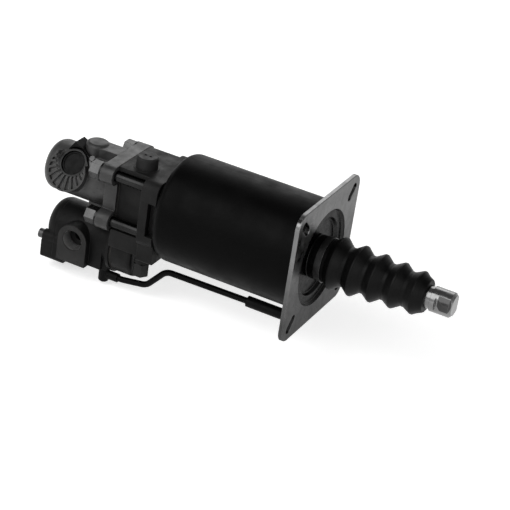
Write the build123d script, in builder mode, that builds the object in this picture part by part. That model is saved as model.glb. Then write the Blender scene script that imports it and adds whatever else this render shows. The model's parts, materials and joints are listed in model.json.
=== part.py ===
from build123d import *
import os
from math import cos, radians, sin, sqrt

os.makedirs("parts", exist_ok=True)

# Millimetres. The X axis is the push rod's axis and points the way the rod pushes, +Z is up.
# The origin is the centre of the mounting flange's front face.
# A size named "back" is a distance behind the origin, and a "drop" is a distance below the axis.

# Clearances
running_gap = 0.05
seat_gap = 0.1

# Air cylinder
bore_radius = 50.0
barrel_wall = 2.0
barrel_back = 150.0
barrel_corner = 9.0

# Mounting flange
flange_side = 127.0
flange_thickness = 4.0
flange_corner = 13.0
flange_edge = 0.6
flange_window_radius = 46.4
slot_inset = 15.5
slot_width = 9.0
slot_length = 19.0

# Front cover
cover_wall = 3.0
cover_rim_depth = 0.6
cover_land_depth = 3.0
cover_land_width = 7.0
cover_pan_radius = 36.0
cover_pan_depth = 6.5
cover_step = 1.8
cover_bend = 1.0
cover_edge = 0.6
collar_radius = 19.0
collar_front = 8.0
cover_hub_radius = 18.0
cover_hub_back = 24.0
bush_wall = 2.8
wiper_wall = 3.8
wiper_length = 6.0

# Push rod
rod_radius = 11.75
rod_front = 130.8
rod_shoulder_back = 52.0
rod_tail_radius = 9.0
rod_tail_length = 34.0
rod_chamfer = 2.4
rod_flat_gap = 20.0
rod_flat_length = 13.3
rod_flat_tilt = 14.0
rod_groove_front = 110.2
rod_groove_length = 9.0
rod_groove_depth = 1.2

# Bellows and its clamp
bellows_wall = 1.5
cuff_back = 5.0
cuff_length = 15.5
first_crest_x = 16.8
crest_pitch = 19.7
crest_count = 5
first_crest_radius = 25.0
last_crest_radius = 20.3
crest_taper = 1.2
first_valley_radius = 18.8
last_valley_radius = 16.6
crest_width = 4.0
valley_width = 4.0
crest_round = 1.6
valley_round = 1.4
nose_round = 1.5
nose_radius = 17.6
nose_length = 5.0
clamp_back_x = 1.5
clamp_width = 6.0
clamp_thickness = 0.8

# Air piston
piston_back = 71.0
piston_length = 22.0
piston_gap = 0.7
piston_hub_radius = 19.0
piston_rim_width = 9.3
piston_web = 6.0
guide_ring_width = 5.0
guide_ring_depth = 2.5
guide_ring_inset = 4.0
lip_seal_width = 6.0
lip_seal_depth = 5.0
lip_seal_inset = 2.0
lip_notch = 2.0

# Springs: mean radius, wire radius and turns
preload_spring_radius = 21.6
preload_wire_radius = 1.5
preload_turns = 6
return_spring_radius = 11.5
return_wire_radius = 1.0
return_turns = 5
poppet_spring_radius = 6.5
poppet_wire_radius = 0.7
poppet_turns = 5

# Hydraulic plunger and the rings that guide and seal it
plunger_radius = 14.0
plunger_back = 215.0
plunger_nose = 1.5
guide_bore_radius = 17.0
plunger_bush_length = 17.8
air_seal_length = 3.8
air_seal_round = 0.9
plunger_seal_length = 6.8
backup_ring_length = 4.8
chamber_radius = 15.2
chamber_back = 279.0

# Tie bolts
bolt_y = 29.8
bolt_z = 23.5
bolt_radius = 5.0
bolt_clearance = 0.5
bolt_head_flats = 15.0
bolt_head_height = 10.5
washer_radius = 9.3
washer_thickness = 2.0
bolt_thread_length = 14.0
bolt_tip_gap = 1.0

# Cylinder head casting
gasket_thickness = 1.0
front_block_length = 16.5
bolt_lug_reach = 11.2
front_block_corner = 10.0
front_foot_half_width = 36.0
front_foot_drop = 50.0
pocket_depth = 7.0
pocket_length = 8.0
pocket_top = 14.0
pocket_drop = 20.0
head_back = 199.0
core_clearance = 1.3
deck_half_width = 28.5
deck_thickness = 4.3
deck_clearance = 0.5
ledge_clearance = 1.0
lower_block_half_width = 33.0
lower_block_drop = 47.0
spigot_radius = 19.8
spigot_length = 5.0
casting_fillet = 2.0

# Cap on the deck
cap_back = 179.5
cap_y = -12.4
cap_radius = 10.3
cap_height = 11.5
cap_edge = 1.2
cap_shank_radius = 7.0
cap_shank_length = 8.0
cap_seat_radius = 12.0
cap_seat_height = 0.5
cap_pin_hole_radius = 1.3
cap_pin_spacing = 5.0
cap_pin_hole_depth = 3.0

# Screws that hold the barrel's floor to the head, and their backing ring
floor_screw_head_gap = 0.3
floor_screw_radius = 3.0
floor_screw_head_radius = 5.0
floor_screw_head = 6.0
floor_screw_grip = 12.0
floor_screw_count = 4
backing_spring_gap = 0.6
backing_edge_gap = 1.5
backing_thickness = 4.0

# Hydraulic housing casting
ear_radius = 9.4
ear_flange_thickness = 13.0
waist_inset = 2.8
hydraulic_radius = 24.5
hydraulic_back = 284.0
hydraulic_corner = 10.0
saddle_half_width = 12.0
saddle_back = 236.0
housing_relief = 0.4
inlet_back = 254.0
inlet_tilt = 20.0
inlet_boss_radius = 20.0
inlet_boss_reach = 31.0
inlet_pocket_radius = 18.4
inlet_pocket_depth = 3.5
inlet_rib_count = 24
inlet_rib_thickness = 2.2
port_tilt = 38.0
port_axis_back = 252.0
port_collar_radius = 13.5
port_collar_reach = 27.0
port_spot_radius = 15.5
port_spot_height = 16.0
port_recess_radius = 11.8
port_recess_reach = 21.0
inlet_hole_radius = 7.0
inlet_plug_radius = 11.2
inlet_plug_height = 4.0
inlet_plug_depth = 4.0
inlet_plug_rim = 1.2
hump_back = 240.0
hump_y = 1.0
hump_radius = 11.5
hump_top = 35.0
hump_edge = 4.0
hump_web = 18.0

# Relay valve
valve_drop = 58.0
valve_radius = 24.4
valve_ring_radius = 28.8
valve_ring_width = 3.0
valve_gasket_thickness = 2.0
valve_back = 262.0
valve_foot_inset = 1.4
valve_rear_flange = 12.0
valve_rear_half_width = 27.0
valve_rear_reach = 6.6
valve_rear_height = 21.0
valve_saddle_drop = 27.0
lower_barrel_radius = 27.0
lower_barrel_front = 178.0
lower_barrel_corner = 4.0
control_bore_radius = 18.0
control_bore_front = 186.0
control_nose_bore_front = 181.0
partition_front = 222.0
partition_thickness = 5.0
inlet_seat_radius = 7.5
inlet_seat_wall = 1.5
inlet_seat_height = 2.0
supply_bore_radius = 13.0
port_back = 238.5
port_rise = 1.0
port_boss_radius = 15.5
port_face_y = 32.0
port_thread_radius = 10.2
port_thread_depth = 14.0
port_drill_radius = 5.0
valve_cover_thickness = 12.5
valve_cover_corner = 4.0
valve_dome_corner = 11.5
cover_spigot_length = 8.0
cover_ring_width = 2.4
cover_ring_depth = 1.8
cover_screw_y = 20.5
cover_screw_below = 9.5
cover_lug_radius = 6.0
cover_screw_radius = 2.5
cover_screw_head_radius = 4.6
cover_screw_head = 5.5
cover_screw_grip = 10.0

# Control piston and inlet poppet
control_disc_front = 188.0
control_disc_length = 8.0
control_nose_radius = 6.0
control_nose_end_gap = 0.5
control_stem_radius = 5.0
control_stem_bore = 2.5
control_stem_tip = 227.9
control_ring_width = 3.0
control_ring_depth = 2.4
poppet_radius = 10.5
poppet_length = 5.0
poppet_stem_radius = 3.0
poppet_stem_back = 256.0
poppet_hole_back = 260.0

# Vent pipe, its elbow, hose and nipple
pipe_radius = 3.0
pipe_wall = 0.8
pipe_bend_radius = 14.0
entry_bend_radius = 30.0
nipple_bend_radius = 6.0
vent_y = -16.0
vent_clearance = 8.4
vent_low_back = 163.5
vent_low_y = -15.0
vent_low_rise = 4.0
vent_high_back = 144.0
vent_high_sag = 1.2
hose_radius = 5.3
hose_back = 58.0
hose_length = 38.0
pipe_front_back = 41.0
nipple_back = 13.0
nipple_tail_back = 38.0
elbow_back = 209.6
elbow_radius = 5.2
elbow_boss_height = 1.6
elbow_height = 13.4
elbow_socket_below = 5.4
elbow_socket_radius = 4.3
elbow_socket_front = 194.0
elbow_stub_radius = 4.2
elbow_stub_length = 7.0
elbow_boss_radius = 5.4
elbow_corner = 2.6
pipe_insertion = 8.0
pipe_straight = 4.0

# Hexagon plug under the head
drain_back = 169.0
drain_y = -20.0
drain_flats = 14.0
drain_top_drop = 59.0
drain_height = 13.0
drain_boss_radius = 7.0
drain_shank_radius = 4.0
drain_shank_length = 9.0
drain_edge = 0.6

# Bleed screw and the dust cover beside it
bleed_back = 232.0
bleed_tilt = 52.0
bleed_screw_radius = 3.0
bleed_screw_flats = 9.0
bleed_screw_height = 4.0
bleed_nipple_radius = 2.6
bleed_nipple_reach = 36.0
bleed_screw_depth = 7.0
dust_cover_back = 263.0
dust_cover_peak_back = 257.0
dust_cover_front = 240.0
dust_cover_top = 33.0
dust_cover_near_y = -12.0
dust_cover_far_y = 4.0

# Values that follow from the ones above
barrel_radius = bore_radius + barrel_wall
slot_spacing = flange_side - 2 * slot_inset
backing_outer_radius = bore_radius - (barrel_corner - barrel_wall) - backing_edge_gap
backing_inner_radius = preload_spring_radius + preload_wire_radius + backing_spring_gap
floor_screw_circle = backing_inner_radius + floor_screw_head_radius + floor_screw_head_gap
front_block_half_width = bolt_y + bolt_lug_reach
core_half_width = bolt_y - bolt_radius - core_clearance
deck_height = bolt_z + bolt_radius + deck_clearance + deck_thickness
ledge_drop = bolt_z + bolt_radius + ledge_clearance
waist_half_width = bolt_y - waist_inset
port_drop = valve_drop - port_rise
cover_screw_drop = valve_drop + cover_screw_below
valve_foot_drop = valve_drop + valve_radius - valve_foot_inset
valve_rear_drop = valve_drop + valve_radius + valve_rear_reach
valve_rear_top_drop = valve_rear_drop - valve_rear_height
elbow_top_drop = valve_foot_drop + elbow_boss_height
elbow_drop = elbow_top_drop + elbow_height
elbow_socket_drop = elbow_top_drop + elbow_socket_below
vent_low_drop = elbow_socket_drop - vent_low_rise
vent_drop = barrel_radius + vent_clearance
vent_high_drop = vent_drop + vent_high_sag
barrel_floor = barrel_back - barrel_wall
piston_front = piston_back - piston_length
piston_radius = bore_radius - piston_gap
head_front = barrel_back + gasket_thickness
front_block_back = head_front + front_block_length
housing_front = head_back + gasket_thickness
ear_back = housing_front + ear_flange_thickness
valve_front = head_back + valve_gasket_thickness
bolt_hole_radius = bolt_radius + bolt_clearance
bolt_spots = [(side * bolt_y, level * bolt_z) for side in (-1, 1) for level in (-1, 1)]
bush_outer_radius = rod_radius + bush_wall
wiper_outer_radius = rod_radius + wiper_wall
last_crest_x = first_crest_x + crest_pitch * (crest_count - 1)
rod_tail_back = rod_shoulder_back + rod_tail_length
pipe_bore = pipe_radius - pipe_wall


def cross_section(back):
    """A sketch plane square to the rod, some distance behind the origin, with (y, z) axes."""
    return Plane(origin=(-back, 0, 0), x_dir=(0, 1, 0), z_dir=(1, 0, 0))


def turn(outline, radii=0, drop=0.0, mode=Mode.ADD):
    """Revolve an outline of (x, radius) points about a line along X, some drop below the axis."""
    side_plane = Plane(origin=(0, 0, -drop), x_dir=(1, 0, 0), z_dir=(0, -1, 0))
    with BuildSketch(side_plane) as profile:
        with BuildLine():
            FilletPolyline(*outline, radius=radii, close=True)
        make_face()
    revolve(profile.sketch, axis=Axis((0, 0, -drop), (1, 0, 0)), mode=mode)


def tube(back, front, outer, inner, drop=0.0, mode=Mode.ADD):
    """A plain ring about a line along X, between two places behind the origin."""
    outline = [(-back, inner), (-front, inner), (-front, outer), (-back, outer)]
    turn(outline, 0, drop, mode)


def bar(back, front, radius, y=0.0, z=0.0, mode=Mode.ADD):
    """A round bar along X, between two places behind the origin."""
    with BuildSketch(cross_section(back)) as section:
        with Locations((y, z)):
            Circle(radius)
    extrude(section.sketch, amount=back - front, mode=mode)


def post(back, y, bottom, top, radius, mode=Mode.ADD):
    """A round bar along Z."""
    with BuildSketch(Plane.XY.offset(bottom)) as section:
        with Locations((-back, y)):
            Circle(radius)
    extrude(section.sketch, amount=top - bottom, mode=mode)


def slab(back, front, y_low, y_high, z_low, z_high, mode=Mode.ADD):
    """A block between two places behind the origin."""
    centre = (-(back + front) / 2, (y_low + y_high) / 2, (z_low + z_high) / 2)
    with Locations(centre):
        Box(back - front, y_high - y_low, z_high - z_low, mode=mode)


def coil(back, front, mean_radius, wire_radius, turns, drop=0.0):
    """A round-wire spring about a line along X, with its end turns inside the two places given."""
    length = back - front - 2 * wire_radius
    start = (-back + wire_radius, 0, -drop)
    path = Helix(length / turns, length, mean_radius, center=start, direction=(1, 0, 0))
    with BuildSketch(Plane(origin=path @ 0, z_dir=path % 0)) as wire:
        Circle(wire_radius)
    sweep(wire.sketch, path=path, is_frenet=True)


def finish(builder, name):
    """Name a finished piece and write it."""
    builder.part.label = name
    export_step(builder.part, f"parts/{name}.step")


# Cylinder barrel: a drawn steel can, closed and rounded at the back
with BuildPart() as cylinder_barrel:
    turn(
        [
            (-barrel_back, 0),
            (-flange_thickness, 0),
            (-flange_thickness, barrel_radius),
            (-barrel_back, barrel_radius),
        ],
        [0, 0, 0, barrel_corner],
    )
    turn(
        [
            (-barrel_floor, 0),
            (-flange_thickness, 0),
            (-flange_thickness, bore_radius),
            (-barrel_floor, bore_radius),
        ],
        [0, 0, 0, barrel_corner - barrel_wall],
        mode=Mode.SUBTRACT,
    )
    bar(barrel_back, barrel_floor, spigot_radius + seat_gap, mode=Mode.SUBTRACT)
    with BuildSketch(cross_section(barrel_back)) as floor_holes:
        with PolarLocations(floor_screw_circle, floor_screw_count):
            Circle(floor_screw_radius + seat_gap)
    extrude(floor_holes.sketch, amount=barrel_wall, mode=Mode.SUBTRACT)
    vent_reach = sqrt(vent_y**2 + vent_drop**2)
    vent_inward = Vector(0, -vent_y / vent_reach, vent_drop / vent_reach)
    nipple_plane = Plane(origin=(-nipple_back, vent_y, -vent_drop), z_dir=vent_inward)
    with BuildSketch(nipple_plane) as nipple_hole:
        Circle(pipe_radius + seat_gap)
    extrude(nipple_hole.sketch, amount=vent_reach / 2, mode=Mode.SUBTRACT)
finish(cylinder_barrel, "cylinder_barrel")

# Mounting flange: a square plate round the front cover, with a slot in each corner
with BuildPart() as mounting_flange:
    with BuildSketch(cross_section(flange_thickness)) as flange_outline:
        RectangleRounded(flange_side, flange_side, flange_corner)
        Circle(flange_window_radius, mode=Mode.SUBTRACT)
    extrude(amount=flange_thickness)
    chamfer(mounting_flange.faces().sort_by(Axis.X)[-1].outer_wire().edges(), flange_edge)
    with BuildSketch(cross_section(flange_thickness)) as flange_slots:
        with PolarLocations(slot_spacing / sqrt(2), 4, start_angle=45):
            SlotOverall(slot_length, slot_width)
    extrude(flange_slots.sketch, amount=flange_thickness, mode=Mode.SUBTRACT)
finish(mounting_flange, "mounting_flange")

# Front cover: a dished plate with a collar for the bellows and a hub for the bush
rim_radius = flange_window_radius - seat_gap
land_radius = rim_radius - cover_step
pan_step_radius = land_radius - cover_land_width
no_round = [0, 0, 0, 0]
with BuildPart() as front_cover:
    turn(
        [
            (-cover_hub_back, bush_outer_radius + running_gap),
            (collar_front - wiper_length, bush_outer_radius + running_gap),
            (collar_front - wiper_length, wiper_outer_radius + running_gap),
            (collar_front, wiper_outer_radius + running_gap),
            (collar_front, collar_radius),
            (-cover_pan_depth, collar_radius),
            (-cover_pan_depth, cover_pan_radius),
            (-cover_land_depth, pan_step_radius),
            (-cover_land_depth, land_radius),
            (-cover_rim_depth, rim_radius),
            (-flange_thickness, rim_radius),
            (-flange_thickness, bore_radius - running_gap),
            (-flange_thickness - cover_wall, bore_radius - running_gap),
            (-flange_thickness - cover_wall, land_radius),
            (-cover_pan_depth - cover_wall, cover_pan_radius),
            (-cover_pan_depth - cover_wall, cover_hub_radius),
            (-cover_hub_back, cover_hub_radius),
        ],
        no_round + [cover_edge, cover_bend, cover_bend, cover_edge, cover_bend]
        + no_round + [cover_bend, cover_bend, cover_bend, cover_edge],
    )
finish(front_cover, "front_cover")

# Guide bush and wiper for the push rod
with BuildPart() as guide_bush:
    tube(cover_hub_back, wiper_length - collar_front, bush_outer_radius, rod_radius + running_gap)
finish(guide_bush, "guide_bush")

with BuildPart() as rod_wiper:
    tube(wiper_length - collar_front, -collar_front, wiper_outer_radius, rod_radius + running_gap)
finish(rod_wiper, "rod_wiper")

# Push rod: a round bar with two wrench flats in front and a spigot behind
with BuildPart() as push_rod:
    groove_floor = rod_radius - rod_groove_depth
    groove_back = rod_groove_front - rod_groove_length
    turn(
        [
            (-rod_tail_back, 0),
            (rod_front, 0),
            (rod_front, rod_radius - rod_chamfer),
            (rod_front - rod_chamfer, rod_radius),
            (rod_groove_front, rod_radius),
            (rod_groove_front, groove_floor),
            (groove_back, groove_floor),
            (groove_back, rod_radius),
            (-rod_shoulder_back, rod_radius),
            (-rod_shoulder_back, rod_tail_radius),
            (-rod_tail_back, rod_tail_radius),
        ]
    )
    flat_plane = Plane(origin=(rod_front - rod_flat_length, 0, 0), x_dir=(0, 1, 0), z_dir=(1, 0, 0))
    with BuildSketch(flat_plane.rotated((0, 0, -rod_flat_tilt))) as flat_cuts:
        with Locations((rod_radius + rod_flat_gap / 2, 0), (-rod_radius - rod_flat_gap / 2, 0)):
            Rectangle(2 * rod_radius, 2 * rod_radius)
    extrude(flat_cuts.sketch, amount=rod_flat_length, mode=Mode.SUBTRACT)
finish(push_rod, "push_rod")


def crest_radius(index):
    """The outer radius of a fold of the bellows, which taper a little towards the rod's end."""
    share = index / (crest_count - 1)
    return first_crest_radius + (last_crest_radius - first_crest_radius) * share**crest_taper


def valley_radius(index):
    """The outer radius between a fold and the next."""
    share = index / (crest_count - 2)
    return first_valley_radius + (last_valley_radius - first_valley_radius) * share


def fold_outline(depth):
    """Points along the folds, from the cuff to the nose, a depth below the outer skin."""
    points = []
    narrow = depth / 2
    for index in range(crest_count):
        crest_x = first_crest_x + crest_pitch * index
        radius = crest_radius(index) - depth
        points.append((crest_x - crest_width / 2 + narrow, radius))
        points.append((crest_x + crest_width / 2 - narrow, radius))
        if index < crest_count - 1:
            valley_x = crest_x + crest_pitch / 2
            radius = valley_radius(index) - depth
            points.append((valley_x - valley_width / 2 - narrow, radius))
            points.append((valley_x + valley_width / 2 + narrow, radius))
    return points


# Bellows: a cuff on the collar, tapering folds, and a nose that snaps into the rod's groove
cuff_front = cuff_length - cuff_back
nose_back = last_crest_x + crest_width / 2 + nose_length / 2
nose_front = nose_back + nose_length
lip_radius = groove_floor + running_gap
with BuildPart() as bellows:
    outer_skin = fold_outline(0)
    inner_skin = fold_outline(bellows_wall)
    cuff_skin = collar_radius + bellows_wall
    outer_path = [(-cuff_back, cuff_skin), (cuff_front, cuff_skin)] + outer_skin
    outer_path += [(nose_back, nose_radius), (nose_front, nose_radius - nose_length / 2)]
    inner_path = [(nose_front, lip_radius), (groove_back + running_gap, lip_radius)]
    inner_path += [(groove_back + running_gap, rod_radius + 2 * running_gap)]
    inner_path += [(nose_back - bellows_wall, rod_radius + bellows_wall)]
    inner_path += list(reversed(inner_skin))
    inner_path += [(cuff_front, collar_radius + running_gap), (-cuff_back, collar_radius + running_gap)]
    folds = [crest_round, crest_round, valley_round, valley_round] * (crest_count - 1)
    rounding = [0, valley_round] + folds + [crest_round, crest_round, valley_round, nose_round]
    turn(outer_path + inner_path, rounding + [0] * len(inner_path))
finish(bellows, "bellows")

with BuildPart() as bellows_clamp:
    clamp_inner = cuff_skin + running_gap
    clamp_front_x = clamp_back_x + clamp_width
    tube(-clamp_back_x, -clamp_front_x, clamp_inner + clamp_thickness, clamp_inner)
finish(bellows_clamp, "bellows_clamp")

# Air piston with its lip seal and guide ring
rim_inner = piston_radius - piston_rim_width
web_front = piston_front + piston_web
guide_front = piston_front + guide_ring_inset
seal_front = piston_back - lip_seal_width - lip_seal_inset
with BuildPart() as air_piston:
    tube(piston_back, piston_front, piston_radius, rod_tail_radius + running_gap)
    tube(piston_back, web_front + piston_web, rim_inner, piston_hub_radius, mode=Mode.SUBTRACT)
    tube(rod_shoulder_back, piston_front, rim_inner, rod_tail_radius, mode=Mode.SUBTRACT)
    guide_floor = piston_radius - guide_ring_depth
    seal_floor = piston_radius - lip_seal_depth
    tube(guide_front + guide_ring_width, guide_front, piston_radius, guide_floor, mode=Mode.SUBTRACT)
    tube(seal_front + lip_seal_width, seal_front, piston_radius, seal_floor, mode=Mode.SUBTRACT)
finish(air_piston, "air_piston")

with BuildPart() as piston_guide_ring:
    tube(
        guide_front + guide_ring_width - running_gap,
        guide_front + running_gap,
        bore_radius - running_gap,
        guide_floor + running_gap,
    )
finish(piston_guide_ring, "piston_guide_ring")

with BuildPart() as piston_seal:
    seal_root = seal_floor + running_gap
    seal_lip = bore_radius - running_gap
    seal_back_x = -(seal_front + lip_seal_width - running_gap)
    seal_front_x = -(seal_front + running_gap)
    turn(
        [
            (seal_front_x, seal_root),
            (seal_front_x, seal_lip - piston_gap),
            (seal_back_x + lip_notch, seal_lip),
            (seal_back_x, seal_lip),
            (seal_back_x + lip_notch, (seal_lip + seal_root) / 2),
            (seal_back_x, seal_root),
        ]
    )
finish(piston_seal, "piston_seal")

# Hydraulic plunger: a ground bar with a socket for the push rod's spigot
with BuildPart() as hydraulic_plunger:
    turn(
        [
            (-plunger_back, 0),
            (-piston_back, 0),
            (-piston_back, plunger_radius),
            (-plunger_back + plunger_nose, plunger_radius),
            (-plunger_back, plunger_radius - plunger_nose),
        ]
    )
    bar(rod_tail_back + seat_gap, piston_back, rod_tail_radius + running_gap, mode=Mode.SUBTRACT)
finish(hydraulic_plunger, "hydraulic_plunger")

with BuildPart() as preload_spring:
    coil(
        barrel_floor - seat_gap,
        web_front + piston_web + seat_gap,
        preload_spring_radius,
        preload_wire_radius,
        preload_turns,
    )
finish(preload_spring, "preload_spring")

# Backing ring and screws that clamp the barrel's floor to the head
with BuildPart() as backing_ring:
    tube(barrel_floor, barrel_floor - backing_thickness, backing_outer_radius, backing_inner_radius)
    with BuildSketch(cross_section(barrel_floor)) as ring_holes:
        with PolarLocations(floor_screw_circle, floor_screw_count):
            Circle(floor_screw_radius + seat_gap)
    extrude(ring_holes.sketch, amount=backing_thickness, mode=Mode.SUBTRACT)
finish(backing_ring, "backing_ring")

with BuildPart() as floor_screws:
    screw_tip = head_front + floor_screw_grip
    head_seat = barrel_floor - backing_thickness
    with BuildSketch(cross_section(screw_tip)) as screw_shanks:
        with PolarLocations(floor_screw_circle, floor_screw_count):
            Circle(floor_screw_radius)
    extrude(screw_shanks.sketch, amount=screw_tip - head_seat)
    with BuildSketch(cross_section(head_seat)) as screw_heads:
        with PolarLocations(floor_screw_circle, floor_screw_count):
            Circle(floor_screw_head_radius)
    extrude(screw_heads.sketch, amount=floor_screw_head)
finish(floor_screws, "floor_screws")

with BuildPart() as head_gasket:
    with BuildSketch(cross_section(head_front)) as gasket_outline:
        Circle(barrel_radius - barrel_corner)
        Circle(spigot_radius + seat_gap, mode=Mode.SUBTRACT)
        with PolarLocations(floor_screw_circle, floor_screw_count):
            Circle(floor_screw_radius + seat_gap, mode=Mode.SUBTRACT)
    extrude(amount=gasket_thickness)
finish(head_gasket, "head_gasket")

# Cylinder head casting: front block with bolt lugs, core, deck and the control valve's blind barrel
with BuildPart() as cylinder_head:
    with BuildSketch(cross_section(front_block_back)) as front_block_outline:
        RectangleRounded(2 * front_block_half_width, 2 * deck_height, front_block_corner)
        with Locations((0, -front_foot_drop / 2)):
            RectangleRounded(2 * front_foot_half_width, front_foot_drop, casting_fillet)
    extrude(amount=front_block_length)
    for side in (-1, 1):
        pocket_y = side * (front_block_half_width - pocket_depth / 2)
        pocket_centre = (-head_front - pocket_length / 2, pocket_y, (pocket_top - pocket_drop) / 2)
        with Locations(pocket_centre):
            Box(pocket_length, pocket_depth, pocket_top + pocket_drop, mode=Mode.SUBTRACT)
    slab(head_back, front_block_back, -core_half_width, core_half_width, -ledge_drop, deck_height)
    deck_bottom = deck_height - deck_thickness
    slab(head_back, front_block_back, -deck_half_width, deck_half_width, deck_bottom, deck_height)
    slab(
        head_back,
        front_block_back,
        -lower_block_half_width,
        lower_block_half_width,
        -lower_block_drop,
        -ledge_drop,
    )
    turn(
        [
            (-head_back, 0),
            (-lower_barrel_front, 0),
            (-lower_barrel_front, lower_barrel_radius),
            (-head_back, lower_barrel_radius),
        ],
        [0, 0, lower_barrel_corner, 0],
        valve_drop,
    )
    post(cap_back, cap_y, deck_bottom, deck_height + cap_seat_height, cap_seat_radius)
    post(drain_back, drain_y, -drain_top_drop, -ledge_drop, drain_boss_radius)
    bar(head_front, head_front - spigot_length - gasket_thickness, spigot_radius)
    bar(head_back, head_front - spigot_length - gasket_thickness, guide_bore_radius, mode=Mode.SUBTRACT)
    bar(head_back, control_bore_front, control_bore_radius, z=-valve_drop, mode=Mode.SUBTRACT)
    nose_bore = control_nose_radius + running_gap
    bar(control_bore_front, control_nose_bore_front, nose_bore, z=-valve_drop, mode=Mode.SUBTRACT)
    bolt_thread_front = front_block_back - bolt_thread_length
    for y, z in bolt_spots:
        bar(front_block_back, bolt_thread_front, bolt_radius + seat_gap, y, z, mode=Mode.SUBTRACT)
    with BuildSketch(cross_section(head_front + floor_screw_grip + seat_gap)) as floor_threads:
        with PolarLocations(floor_screw_circle, floor_screw_count):
            Circle(floor_screw_radius + seat_gap)
    extrude(floor_threads.sketch, amount=floor_screw_grip + seat_gap, mode=Mode.SUBTRACT)
    cap_seat = deck_height + cap_seat_height
    cap_thread_bottom = cap_seat - cap_shank_length - seat_gap
    post(cap_back, cap_y, cap_thread_bottom, cap_seat, cap_shank_radius + seat_gap, mode=Mode.SUBTRACT)
    drain_thread_top = -drain_top_drop + drain_shank_length + seat_gap
    drain_thread_radius = drain_shank_radius + seat_gap
    post(drain_back, drain_y, -drain_top_drop, drain_thread_top, drain_thread_radius, mode=Mode.SUBTRACT)
finish(cylinder_head, "cylinder_head")

# Cap on the deck, with two holes for a pin spanner
with BuildPart() as breather_cap:
    post(cap_back, cap_y, cap_seat, cap_seat + cap_height, cap_radius)
    chamfer(breather_cap.faces().sort_by(Axis.Z)[-1].edges(), cap_edge)
    post(cap_back, cap_y, cap_seat - cap_shank_length, cap_seat, cap_shank_radius)
    for side in (-1, 1):
        post(
            cap_back + side * cap_pin_spacing / 2,
            cap_y,
            cap_seat + cap_height - cap_pin_hole_depth,
            cap_seat + cap_height,
            cap_pin_hole_radius,
            mode=Mode.SUBTRACT,
        )
finish(breather_cap, "breather_cap")

# Hexagon plug below the head
with BuildPart() as drain_plug:
    with BuildSketch(Plane.XY.offset(-drain_top_drop - drain_height)) as drain_hexagon:
        with Locations((-drain_back, drain_y)):
            RegularPolygon(drain_flats / 2, 6, major_radius=False)
    extrude(amount=drain_height)
    chamfer(drain_plug.faces().sort_by(Axis.Z)[0].edges(), drain_edge)
    post(drain_back, drain_y, -drain_top_drop, -drain_top_drop + drain_shank_length, drain_shank_radius)
finish(drain_plug, "drain_plug")

# Rings in the head's bore, from front to back
bush_front = head_front - spigot_length - gasket_thickness
bush_back = bush_front + plunger_bush_length
air_seal_back = bush_back + air_seal_length
plunger_seal_back = air_seal_back + plunger_seal_length
backup_back = plunger_seal_back + backup_ring_length
ring_outer = guide_bore_radius - running_gap
ring_inner = plunger_radius + running_gap

with BuildPart() as plunger_bush:
    tube(bush_back, bush_front, ring_outer, ring_inner)
finish(plunger_bush, "plunger_bush")

with BuildPart() as air_seal:
    turn(
        [
            (-air_seal_back, ring_inner),
            (-bush_back, ring_inner),
            (-bush_back, ring_outer),
            (-air_seal_back, ring_outer),
        ],
        air_seal_round,
    )
finish(air_seal, "air_seal")

with BuildPart() as plunger_seal:
    ring_middle = (ring_outer + ring_inner) / 2
    turn(
        [
            (-air_seal_back, ring_inner),
            (-air_seal_back, ring_outer),
            (-plunger_seal_back, ring_outer),
            (-plunger_seal_back + lip_notch, ring_middle),
            (-plunger_seal_back, ring_inner),
        ]
    )
finish(plunger_seal, "plunger_seal")

with BuildPart() as backup_ring:
    tube(backup_back, plunger_seal_back, ring_outer, ring_inner)
finish(backup_ring, "backup_ring")

with BuildPart() as spacer_sleeve:
    tube(head_back, backup_back, ring_outer, ring_inner)
finish(spacer_sleeve, "spacer_sleeve")

with BuildPart() as body_gasket:
    with BuildSketch(cross_section(housing_front)) as body_gasket_outline:
        with Locations((0, (deck_height - ledge_drop) / 2)):
            Rectangle(2 * core_half_width, deck_height + ledge_drop)
        Circle(guide_bore_radius - running_gap, mode=Mode.SUBTRACT)
    extrude(amount=gasket_thickness)
finish(body_gasket, "body_gasket")

# Hydraulic housing casting: eared flange, pressure cylinder, inlet boss, bleed boss and saddle
def radial_plane(back, tilt, reach):
    """A plane some reach out from the axis, square to a line that rises at a tilt on the near side."""
    direction = Vector(0, -cos(radians(tilt)), sin(radians(tilt)))
    return Plane(origin=Vector(-back, 0, 0) + direction * reach, x_dir=(1, 0, 0), z_dir=direction)


def inlet_plane(reach):
    """The plane square to the inlet boss, some reach out from the axis."""
    return radial_plane(inlet_back, inlet_tilt, reach)


def port_plane(reach):
    """The plane square to the inlet port, some reach out from the axis."""
    return radial_plane(port_axis_back, port_tilt, reach)


def bleed_plane(reach):
    """The plane square to the bleed screw, some reach out from the axis."""
    return radial_plane(bleed_back, bleed_tilt, reach)


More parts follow.
